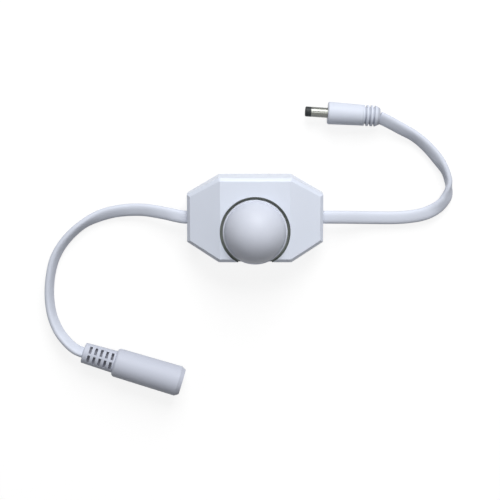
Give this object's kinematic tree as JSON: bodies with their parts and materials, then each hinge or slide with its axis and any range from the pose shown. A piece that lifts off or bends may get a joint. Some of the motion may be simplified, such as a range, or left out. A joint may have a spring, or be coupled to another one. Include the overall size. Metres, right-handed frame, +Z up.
{
  "type": "in-line led dimmer",
  "caption": "In-line rotary dimmer for low-voltage LED strips: octagonal clamshell housing with a domed knob, and flat cords to a barrel socket and a barrel plug.",
  "frame": {"origin": "middle of the housing's flat underside, on the surface that it lies on", "axes": "+X from the input cord's exit to the output cord's exit, +Y towards the housing's back wall, away from the wall that the knob's rim overhangs, +Z up through the knob"},
  "size_m": [0.1663, 0.1194, 0.0282],
  "materials": {
    "white_shell": "smooth moulded white plastic",
    "knob_white": "satin moulded white plastic",
    "cord_white": "soft white PVC jacket",
    "moulded_white": "soft white PVC overmould",
    "insert_black": "black moulded insulator",
    "plated_metal": "nickel-plated brass",
    "steel": "zinc-plated steel",
    "board_green": "glass-fibre board with green mask",
    "pot_black": "black moulded base",
    "carbon": "carbon film",
    "rotor_white": "white acetal",
    "chip_black": "black epoxy with tinned leads",
    "capacitor_can": "bare can on a black foot",
    "ceramic": "brown ceramic",
    "solder": "solder",
    "core_red": "PVC core insulation"
  },
  "bodies": {
    "housing": {"upper_shell": "white_shell", "lower_shell": "white_shell", "housing_screws": "steel", "potentiometer_body": "pot_black", "potentiometer_neck": "plated_metal", "potentiometer_washer": "steel", "potentiometer_nut": "plated_metal", "potentiometer_terminals": "solder", "resistive_track": "carbon", "circuit_board": "board_green", "switching_transistor": "chip_black", "timer_chip": "chip_black", "electrolytic_capacitor": "capacitor_can", "protection_diode": "chip_black", "chip_resistors": "chip_black", "chip_capacitors": "ceramic", "solder_joints": "solder", "input_wires": "core_red", "output_wires": "core_red", "input_cord": "cord_white", "socket_strain_relief": "moulded_white", "socket_body": "moulded_white", "socket_insert": "insert_black", "socket_centre_pin": "plated_metal", "socket_spring": "plated_metal", "output_cord": "cord_white", "plug_strain_relief": "moulded_white", "plug_body": "moulded_white", "plug_barrel": "plated_metal", "plug_tip_insulator": "insert_black", "plug_inner_contact": "plated_metal"},
    "control": {"knob": "knob_white", "potentiometer_shaft": "rotor_white", "wiper_rotor": "rotor_white", "wiper_brush": "plated_metal"}
  },
  "joints": [
    {"name": "knob_turn", "type": "hinge", "parent": "housing", "child": "control", "pos_m": [0, -0.0046, 0.014], "axis": [0, 0, 1], "range_deg": [-150, 150]}
  ]
}
